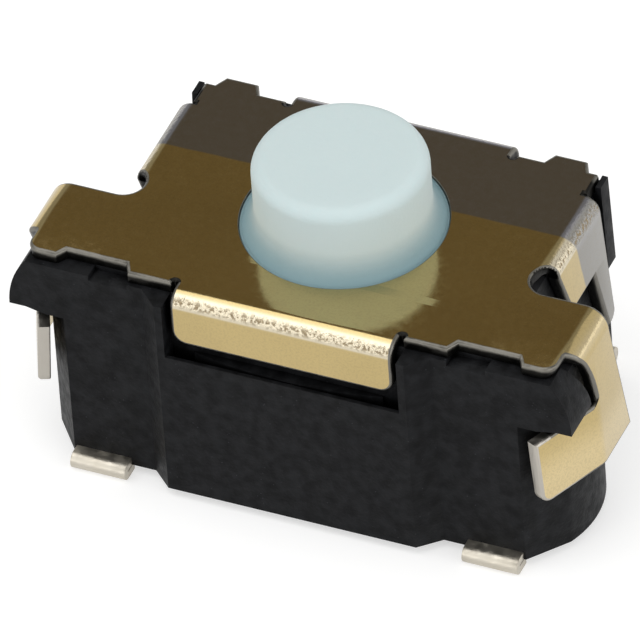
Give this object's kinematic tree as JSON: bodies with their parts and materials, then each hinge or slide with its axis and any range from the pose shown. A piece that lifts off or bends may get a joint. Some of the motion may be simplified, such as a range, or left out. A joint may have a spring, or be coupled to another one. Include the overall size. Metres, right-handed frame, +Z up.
{
  "type": "tactile push button switch",
  "caption": "Surface-mount tactile switch: round push button through a hole in a bent metal cover on a moulded housing with curled feet.",
  "frame": {"origin": "on the solder plane under the feet, on the button's axis", "axes": "+Z up along the button's axis, +X along the long side, -Y out of the face with the single front flange and the wider wings"},
  "size_m": [0.0062, 0.0034, 0.0035],
  "materials": {
    "housing_plastic": "black moulded resin, fine matt texture",
    "cover_metal": "polished sheet with a gold tone and a silver-plated rear band",
    "button_plastic": "pale blue, matt",
    "spring_steel": "bright spring strip",
    "terminal_metal": "silver plated strip"
  },
  "bodies": {
    "base": {"housing": "housing_plastic", "cover": "cover_metal", "snap_dome": "spring_steel", "outer_terminal": "terminal_metal", "centre_terminal": "terminal_metal"},
    "actuator": {"button": "button_plastic"}
  },
  "joints": [
    {"name": "button_press", "type": "slide", "parent": "base", "child": "actuator", "axis": [0, 0, -1], "range_m": [0, 0.00025], "stiffness_N_per_m": 6400, "deforming": ["snap_dome"]}
  ]
}
